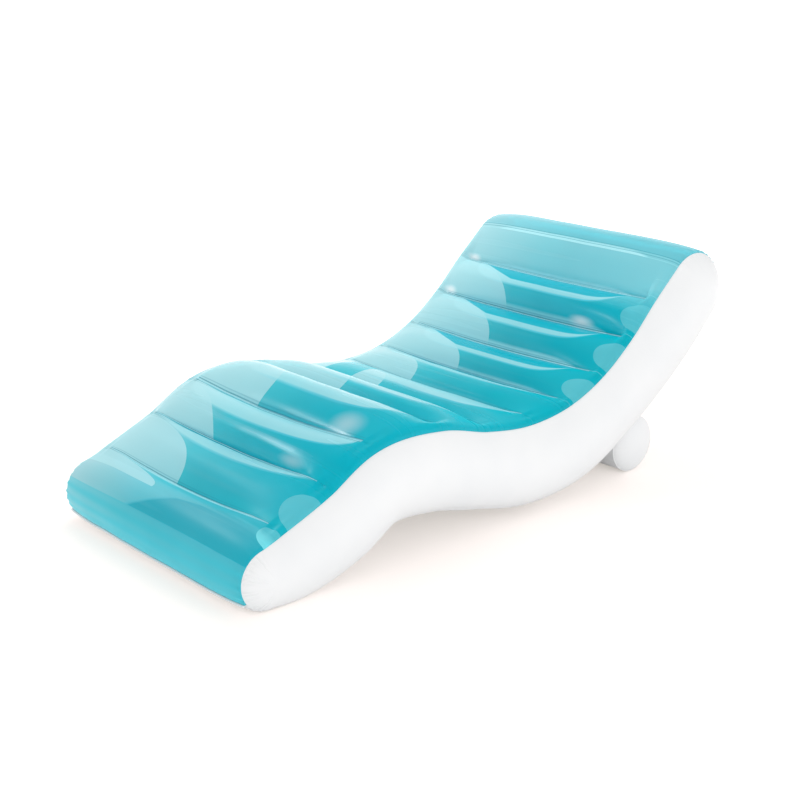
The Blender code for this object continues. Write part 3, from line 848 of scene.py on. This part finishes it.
def print_group():
    """A scallop from the far seam on each rib, and a half-moon by the near seam on some ribs."""
    group, (along, across), result = new_group("scallop_print", FILM_INPUTS, ["Scallop", "Half Moon"])
    above = maths("FRACT", along) * PITCH
    reach = maths("SINE", maths("FLOOR", along) * SCALLOP_TURN) * SCALLOP_VARIATION + SCALLOP_REACH
    scallop = inside_ellipse(above, SEAM_HALF_WIDTH - across, SCALLOP_MIDDLE, SCALLOP_HALF_WIDTH, reach)
    on_first = along < 1.0
    moon = inside_ellipse(above, across + SEAM_HALF_WIDTH, on_first * FIRST_MOON_SHIFT + MOON_MIDDLE,
                          on_first * FIRST_MOON_WIDER + MOON_HALF_ALONG,
                          on_first * -FIRST_MOON_LOWER + MOON_HALF_ACROSS)
    on_ribs = (along > 0.0) * (along < RIBS - 1.0)
    on_moon_ribs = (along < FOOT_MOONS_END) | (along > BACK_MOONS_START)
    feed(result["Scallop"], scallop * on_ribs)
    feed(result["Half Moon"], moon * on_moon_ribs * on_ribs)
    return group


scallop_print = print_group()
print("print group", len(scallop_print.nodes), "nodes")

# %% [markdown]
# ## The bands beside the welds
# Beside each weld the film shows lens-shaped bands. The welded edge of the baffle lies under the film,
# and a deeper band of painted shade stands for it. The paler band beside it is a painted reflection.
# Their widths taper to nothing at the weld's ends, so they are drawn as distances from the weld in the
# film's own metres.
# Painted highlights, soft bright spots, are drawn the same way, since a lamp for each would light the
# whole chair.

# %% The bands' widths
# Each lens is a band's half length and its power: a high power keeps the band full for longer.
FOOT_LENS, SEAT_LENS, BACK_LENS = (0.375, 2.0), (0.385, 6.0), (0.330, 7.0)
# The deep bands are painted shade beside the welds, where the baffles show through.
DEEP_BAND = 0.066
FOOT_DEEP_BAND = 0.012
FOOT_DEEP_LINE = 0.004
# The pale and rise bands are painted reflections beside the welds.
PALE_BAND = 0.090
FOOT_PALE_BAND = 0.050
SEAT_PALE_BAND = 0.116
RISE_BAND = 0.015
WEDGE_WIDTH = 0.006
WEDGE_STRENGTH = 0.8
LINE_WIDTH = 0.0025
BAND_SOFTNESS = 0.004
FAR_TIP = 0.345
FAR_TIP_LENGTH = 0.22
FAR_SLOPE, FAR_OFFSET = 2.2, 0.45
SEAT_MIDDLE = 4.5
SEAT_REACH = 2.1
BACK_START, BACK_FULL = 5.5, 7.5


def clamped(value):
    return maths("MINIMUM", value | 0.0, 1.0)


def within(distance, width, softness):
    """1 where a distance is under a width, with a soft edge."""
    return clamped((width - distance) * (1 / softness) + 0.5)


def lens(across, half_length, power):
    """1 in a weld's middle and 0 at its ends."""
    return 1.0 - (abs(across) / half_length) ** power | 0.0


# %% The painted highlights
# Painted highlights, soft white spots fixed on the film. First and last rib, middle above the weld and
# across, half sizes the same way, and strength.
PAINTED_HIGHLIGHT_SPOTS = (
    (9.0, 10.0, 0.015, -0.222, 0.020, 0.066, 1.0),
    (9.0, 11.0, 0.012, 0.375, 0.022, 0.036, 1.0),
    (3.0, 4.0, 0.020, -0.280, 0.036, 0.080, 0.5),
    (2.0, 3.0, 0.042, -0.262, 0.034, 0.070, 0.4),
)
SPOT_POWER = 1.8


# Adds up the painted highlights, soft white spots, into one mask.
def painted_highlight_mask(along, above, across):
    painted_highlight = 0.0
    for first, last, middle_above, middle_across, half_above, half_across, strength in PAINTED_HIGHLIGHT_SPOTS:
        x = (above - middle_above) / half_above
        y = (across - middle_across) / half_across
        spot = clamped(1.0 - (x * x + y * y)) ** SPOT_POWER * strength
        painted_highlight = spot * (along > first) * (along < last) | painted_highlight
    return painted_highlight


# %% The bands' node group
def band_group():
    """Masks from 0 to 1: bands of painted shade (deep) and painted reflection (pale) beside the welds, and
    painted highlights.
    """
    group, (along, across), result = new_group("weld_bands", FILM_INPUTS, ["Deep", "Pale", "Painted Highlight"])
    above = maths("FRACT", along) * PITCH
    below = PITCH - above
    back = clamped((along - BACK_START) / (BACK_FULL - BACK_START))
    seat = clamped(SEAT_REACH - abs(along - SEAT_MIDDLE))
    far = clamped(across * FAR_SLOPE + FAR_OFFSET)

    def by_rib(on_foot, on_back):
        """One value on the foot's ribs and another on the back's, with a smooth change between them."""
        return (1.0 - back) * on_foot + back * on_back

    taper = by_rib(lens(across, *FOOT_LENS), lens(across, *BACK_LENS))
    on_welds = (along < RIBS - 1.0) * (taper > 0.001) * (along > 0.0)
    foot_deep = far * (FOOT_DEEP_BAND - FOOT_DEEP_LINE) + FOOT_DEEP_LINE
    back_deep = clamped((FAR_TIP - across) / FAR_TIP_LENGTH) * DEEP_BAND
    # The deep band is painted shade.
    deep = within(below, taper * by_rib(foot_deep, back_deep), BAND_SOFTNESS) * on_welds
    foot_pale = (1.0 - seat) * taper * FOOT_PALE_BAND
    seat_pale = seat * lens(across, *SEAT_LENS) * SEAT_PALE_BAND
    pale_width = by_rib(foot_pale + seat_pale, taper * PALE_BAND)
    # The pale band is a painted reflection.
    pale = (within(below, pale_width, BAND_SOFTNESS * 3) - deep | 0.0) * on_welds
    # The wedge is a thin line of painted shade at the pale band's edge.
    wedge = within(abs(below - pale_width), by_rib(taper * WEDGE_WIDTH, LINE_WIDTH), BAND_SOFTNESS)
    wedge = wedge * (1.0 - far) * on_welds
    # The rise band is a thin painted reflection just past each weld of the back.
    rise = within(above, taper * RISE_BAND, BAND_SOFTNESS * 2) * back * (along > 1.0)
    # Deep is painted shade, Pale is painted reflection, and the last output holds the painted highlights.
    feed(result["Deep"], deep | wedge * WEDGE_STRENGTH)
    feed(result["Pale"], pale | rise)
    feed(result["Painted Highlight"], painted_highlight_mask(along, above, across))
    return group


weld_bands = band_group()
print("weld band group", len(weld_bands.nodes), "nodes")

# %% [markdown]
# ## Aqua film
# The film is clear vinyl with a tint. Light bent through its many layers would be slow and noisy to
# render, so each layer mixes a tinted Transparent shader with a glossy one. The mix factor is the film's
# opacity, which is higher where the film is seen edge on.

# %% Clear film
DEEP_AQUA = (0.000, 0.680, 0.800)
MID_AQUA = (0.080, 0.840, 0.960)
TINT = (0.020, 0.890, 0.980)
STREAK_STRETCH = (4.5, 1.2, 1.0)
STREAK_DETAIL = 1.2
INNER_OPACITY = 0.5


def streak_group():
    """Faint streaks along the ribs, where the stretched film is a little thicker or thinner."""
    inputs = {"Film": "Vector", "Stretch": "Vector"}
    group, (film, stretch), result = new_group("film_streaks", inputs, ["Streaks"])
    stretched = add_node(group, "Mapping", {"Vector": film, "Scale": stretch}).outputs["Vector"]
    streaks = add_node(group, "TexNoise", {"Vector": stretched, "Scale": 1.0, "Detail": STREAK_DETAIL})
    feed(result["Streaks"], streaks.outputs["Fac"])
    return group


film_streaks = streak_group()


def add_film_streaks(tree):
    """The film's own coordinates, and its streaks."""
    film = add_node(tree, "UVMap", {}, uv_map="film").outputs["UV"]
    return film, place_group(tree, film_streaks, Film=film, Stretch=STREAK_STRETCH)[0]


def finish_clear_film(tree, shader, opacity):
    """Lets tinted light through where the film isn't opaque, and ends the material."""
    clear = add_node(tree, "BsdfTransparent", {"Color": TINT})
    weight = add_node(tree, "LayerWeight", {"Blend": 0.5})
    edge_on = Value(weight.outputs["Facing"]) ** 2.0
    mix = mix_shaders(tree, edge_on * (1.0 - opacity) + opacity, clear, shader)
    add_node(tree, "OutputMaterial", {"Surface": mix.outputs["Shader"]})


def make_inner_film():
    """The baffles' film, which has no print."""
    material, tree = new_material("inner_aqua_film")
    streaks = add_film_streaks(tree)[1]
    colour = ramp(streaks, (0.3, DEEP_AQUA), (0.7, MID_AQUA))
    shader = add_node(tree, "BsdfPrincipled", {"Base Color": colour, "Roughness": 0.2})
    finish_clear_film(tree, shader, INNER_OPACITY)
    return material


inner_film = make_inner_film()
for baffle in baffles:
    use_material(baffle, inner_film)
print("streak group", len(film_streaks.nodes), "nodes")

# %% [markdown]
# The top film is painted deeper by the near wall, a painted shade, and is paler at the far one and on the
# head.
# At the foot it turns under, with a deep tongue of painted shade on the near side. A small panel on the
# far side of the seat has a deeper tint. Each weld shows the two edges of its flat strip as dark lines.

# %% Masks of the top film
FACE_EDGE = -0.338
FACE_WAVER = 0.10
# The foot's deep tongue is painted shade on its near side.
TONGUE_START, TONGUE_SLOPE, TONGUE_OFFSET = 0.12, 2.6, -0.42
PANEL_ALONG = (5.05, 5.80)
PANEL_ACROSS = (0.205, 0.335)
WELD_LINE_WIDTH = 0.0020
WELD_LINE_STRENGTH = 0.9
OUTER_LINE = 0.0075
OUTER_LINE_STRENGTH = 0.4
FOOT_SEAM_WIDTH = 0.012
REAR_LINES, REAR_LINE_GAP, REAR_LINE_WIDTH = 11.08, 0.025, 0.007
REAR_LINE_STRENGTH = 0.70


def foot_masks(along, across, streaks):
    """Where the film at the foot is pale, where the deep tongue of painted shade lies, and where the film
    turns under.
    """
    pale = ramp((along + 1.0) / 2.0, (0.0, 1.0), (0.60, 1.0), (0.82, 0.0))
    face = (streaks * FACE_WAVER + along) < FACE_EDGE
    tongue_reach = (TONGUE_START - across) * TONGUE_SLOPE + TONGUE_OFFSET
    tongue = ramp((tongue_reach - along) * 2.0 + 0.5, (0.40, 0.0), (0.56, 1.0))
    return pale, tongue * pale * (1.0 - face), face


def panel_mask(along, across):
    on_ribs = (along > PANEL_ALONG[0]) * (along < PANEL_ALONG[1])
    return on_ribs * (across > PANEL_ACROSS[0]) * (across < PANEL_ACROSS[1])


def weld_masks(along, across):
    """The flat strip of each weld, and the lines of the welds and of the seams at the two ends."""
    nearest = maths("MINIMUM", maths("ROUND", along) | 1.0, RIBS - 1.0)
    gap = abs(along - nearest) * PITCH
    on_weld = abs(across) < WELD_HALF_WIDTH
    strip = (gap < STRIP_HALF_WIDTH) * on_weld
    line = (abs(gap - STRIP_HALF_WIDTH) < WELD_LINE_WIDTH / 2) * on_weld
    outer = (abs(gap - OUTER_LINE) < WELD_LINE_WIDTH / 2) * on_weld * OUTER_LINE_STRENGTH
    foot_seam = along < FOOT_SEAM_WIDTH - film_reaches(SEAT)[2]
    rear_lines = (abs(abs(along - REAR_LINES) - REAR_LINE_GAP) < REAR_LINE_WIDTH) * REAR_LINE_STRENGTH
    return strip, (line | outer) * WELD_LINE_STRENGTH | foot_seam | rear_lines


# %% The top film's opacity
NEAR_OPACITY = 0.52
MIDDLE_OPACITY = 0.42
FAR_OPACITY = 0.56
DEEP_BAND_OPACITY = 0.44
PALE_BAND_OPACITY = 0.26
PRINT_OPACITY = 0.20
HEAD_OPACITY = 0.20


def film_opacity(side_share, scallop, deep, pale, head):
    """The film lets less light through by the walls, on its print, on the bands and on the head."""
    opacity = ramp(side_share, (0.05, NEAR_OPACITY), (0.45, MIDDLE_OPACITY), (0.95, FAR_OPACITY))
    opacity = scallop * PRINT_OPACITY + opacity
    opacity = deep * DEEP_BAND_OPACITY + opacity
    opacity = pale * PALE_BAND_OPACITY + opacity
    return head * HEAD_OPACITY + opacity


# %% The top film
PALE_AQUA = (0.540, 0.940, 1.000)
FACE_AQUA = (0.090, 0.840, 0.970)
BAND_AQUA = (0.000, 0.500, 0.640)
WELD_AQUA = (0.000, 0.330, 0.440)
TONGUE_AQUA = (0.000, 0.440, 0.560)
MOON_AQUA = (0.240, 0.920, 1.000)
PAINTED_HIGHLIGHT_WHITE = (0.90, 0.98, 1.00)
FILM_IOR = 1.46
FACE_BANDS = 33.0
STREAKS_START = -0.3
HEAD_SEAM_START = 11.1
SLACK_ROUGHNESS = 0.22


def make_printed_film():
    """Lays the masks over the film's base colour one after another, each with its strength and colour."""
    material, tree = new_material("printed_aqua_film")
    film, streaks = add_film_streaks(tree)
    split = add_node(tree, "SeparateXYZ", {"Vector": film})
    along, across = Value(split.outputs["X"]), Value(split.outputs["Y"])
    scallop, moon = place_group(tree, scallop_print, Along=along, Across=across)
    deep, pale, painted_highlight = place_group(tree, weld_bands, Along=along, Across=across)
    pale = pale * (scallop * -0.7 + 1.0)
    foot_pale, tongue, face = foot_masks(along, across, streaks)
    strip, lines = weld_masks(along, across)
    side_share = across * (0.5 / SEAM_HALF_WIDTH) + 0.5
    head = ramp(along / float(RIBS), (0.86, 0.0), (0.93, 0.60))
    inward = ramp(side_share, (0.10, 0.0), (0.30, 1.0))
    pale_streaks = ramp(streaks, (0.50, 0.0), (0.78, 0.12)) * inward * (along > STREAKS_START)
    # Painted shade: the film is deeper by the near wall, and paler towards the far one.
    colour = ramp(side_share, (0.25, DEEP_AQUA), (0.60, MID_AQUA), (0.95, PALE_AQUA))
    for mask, strength, tone in (
        (head, 1.0, PALE_AQUA),
        (foot_pale, 0.30, PALE_AQUA),
        # The tongue is painted shade on the foot's near side.
        (tongue, 1.0, TONGUE_AQUA),
        (face, maths("SINE", along * FACE_BANDS) * 0.15 + 0.70, FACE_AQUA),
        (scallop, 0.80, PALE_AQUA),
        (moon, 0.70, MOON_AQUA),
        (pale_streaks, 1.0, PALE_AQUA),
        # Painted reflection on the pale bands, and painted shade on the deep ones.
        (pale, 0.68, PALE_AQUA),
        (deep, 0.95, BAND_AQUA),
        (along > HEAD_SEAM_START, 0.32, BAND_AQUA),
        # The painted highlights: soft white spots.
        (painted_highlight, 1.0, PAINTED_HIGHLIGHT_WHITE),
        (panel_mask(along, across), 0.85, DEEP_AQUA),
        (strip, 0.55, PALE_AQUA),
        (lines, 0.75, WELD_AQUA),
    ):
        colour = mix_colours(mask * strength, colour, tone)
    slack = ramp(along / 4.0, (0.39, 1.0), (0.47, 0.0))
    bump = add_node(tree, "Bump", {"Strength": 0.06, "Distance": 0.0012, "Height": streaks})
    shader = add_node(tree, "BsdfPrincipled", {
        "Base Color": colour,
        "Roughness": slack * SLACK_ROUGHNESS + ramp(streaks, (0.3, 0.20), (0.7, 0.30)),
        "IOR": FILM_IOR,
        "Normal": bump.outputs["Normal"],
    })
    finish_clear_film(tree, shader, film_opacity(side_share, scallop, deep | tongue, pale | painted_highlight, head))
    return material


printed_film = make_printed_film()
use_material(top_film, printed_film)
print("printed film", len(printed_film.node_tree.nodes), "nodes")

# %% [markdown]
# ## Floor
# The photograph was taken on white, and only a soft shadow shows where the chair stands. A white floor
# would render grey, so what the floor bounces and what is seen of it are two shaders: near the chair it
# takes a shadow, and further off its own glow makes it plain white.

# %% Floor
FLOOR_DROP = 0.0005
FLOOR_SHADE = (0.80, 0.735, 0.73)
FLOOR_GLOW = (0.43, 0.41, 0.378)
FLOOR_BOUNCE = (0.92, 0.92, 0.92)
WHITE = (1.0, 1.0, 1.0)
SHADOW_REACH = 1.5
WHITE_REACH = 3.0

deselect_all()
bpy.ops.mesh.primitive_plane_add(size=80, location=(0, 0, -FLOOR_DROP))
floor = bpy.context.object
floor.name = "studio_floor"


def rays(tree):
    """Masks of the rays that come from the camera, from gloss, and through glass or clear film."""
    path = add_node(tree, "LightPath", {})
    return [Value(path.outputs[f"Is {kind} Ray"]) for kind in ("Camera", "Glossy", "Transmission")]


def make_floor_finish():
    material, tree = new_material("studio_floor")
    bounce = add_node(tree, "BsdfDiffuse", {"Color": FLOOR_BOUNCE})
    shade = add_node(tree, "BsdfDiffuse", {"Color": FLOOR_SHADE})
    place = add_node(tree, "TexCoord", {}).outputs["Object"]
    distance = add_node(tree, "VectorMath", {0: place}, operation="LENGTH").outputs["Value"]
    away = (Value(distance) - SHADOW_REACH) / (WHITE_REACH - SHADOW_REACH)
    glow = add_node(tree, "Emission", {"Color": ramp(away, (0.0, FLOOR_GLOW), (1.0, WHITE))})
    seen = add_node(tree, "AddShader", {0: shade.outputs["BSDF"], 1: glow.outputs["Emission"]})
    camera_ray, glossy_ray, clear_ray = rays(tree)
    mix = mix_shaders(tree, camera_ray | glossy_ray | clear_ray, bounce, seen)
    add_node(tree, "OutputMaterial", {"Surface": mix.outputs["Shader"]})
    return material


use_material(floor, make_floor_finish())
print("floor", FLOOR_DROP * 1000, "mm under the chair")

# %% [markdown]
# ## The studio's white walls and dim ceiling
# The world stands for the room. It lights the chair evenly, and the camera sees it as plain white. The
# glossy film mirrors white walls, but a dim ceiling and a dim room behind the camera, because a room that
# is white all over would wash the film's colour out.

# %% The world
CAMERA_SIDE = (-0.66, -0.75, 0.0)


def make_world():
    world = bpy.data.worlds.new("studio")
    bpy.context.scene.world = world
    world.use_nodes = True
    tree = world.node_tree
    direction = add_node(tree, "TexCoord", {}).outputs["Generated"]
    height = Value(add_node(tree, "SeparateXYZ", {"Vector": direction}).outputs["Z"])
    fill = ramp(height, (0.0, 0.98), (0.35, 0.96), (0.70, 0.76), (1.0, 0.66))
    walls = ramp(height, (0.0, 1.0), (0.30, 0.90), (0.55, 0.25), (0.80, 0.08))
    towards_camera = add_node(tree, "VectorMath", {0: direction, 1: CAMERA_SIDE}, operation="DOT_PRODUCT")
    unlit = ramp(Value(towards_camera.outputs["Value"]), (0.1, 1.0), (0.7, 0.10))
    walls = mix_colours(1.0, walls, unlit, "MULTIPLY")
    camera_ray, glossy_ray, clear_ray = rays(tree)
    light = mix_colours(glossy_ray, fill, walls)
    feed(tree.nodes["Background"].inputs["Color"], mix_colours(camera_ray | clear_ray, light, WHITE))
    return world


print("world", len(make_world().node_tree.nodes), "nodes")

# %% [markdown]
# ## Lamps
# A large soft lamp hangs over the chair, a little to the rear, and a larger one further off fills in
# from the near side. Both light matt surfaces only, because their reflections would draw long streaks
# on the ribs. A small third lamp does the reverse: it gives the knee its highlight.

# %% Lamps
def add_lamp(name, place, target, size, power, lights):
    """A soft rectangular lamp that lights diffuse or glossy surfaces."""
    deselect_all()
    bpy.ops.object.light_add(type="AREA", location=place)
    lamp = bpy.context.object
    lamp.name = name
    lamp.data.shape = "RECTANGLE"
    lamp.data.size, lamp.data.size_y = size
    lamp.data.energy = power
    lamp.rotation_euler = (Vector(target) - Vector(place)).to_track_quat("-Z", "Y").to_euler()
    lamp.visible_diffuse = lights == "diffuse"
    lamp.visible_glossy = lights == "glossy"
    lamp.visible_camera = lamp.visible_transmission = False
    print(name, power, "W")


add_lamp("overhead_softbox", (0.5, 1.2, 2.8), (0, 0, 0.2), (2.4, 1.8), 24, "diffuse")
add_lamp("front_fill", (-0.6, -4.6, 1.6), (0, 0, 0.3), (4.0, 3.0), 44, "diffuse")
add_lamp("knee_highlight", (-0.85, 0.62, 1.02), (-0.5, -0.3, 0.35), (0.20, 0.20), 2.8, "glossy")

# %% [markdown]
# ## Camera
# The camera stands by the foot, at the sitter's left, and looks down on the chair. Its place, turn and
# lens were found by fitting the chair's welds and seams to those in the photograph.

# %% Camera
CAMERA_PLACE = (-2.802, -3.131, 1.609)
CAMERA_TURN = math.radians(-41.42)
CAMERA_DIP = math.radians(17.61)
PHOTO_PIXELS = 800
LENS_PIXELS = 1433
SENSOR = 36.0

bpy.ops.object.camera_add(location=CAMERA_PLACE, rotation=(math.pi / 2 - CAMERA_DIP, 0, CAMERA_TURN))
camera = bpy.context.object
camera.data.sensor_width = SENSOR
camera.data.lens = SENSOR * LENS_PIXELS / PHOTO_PIXELS
bpy.context.scene.camera = camera
bpy.context.scene.view_settings.view_transform = "Standard"
print("lens", round(camera.data.lens, 1), "mm")
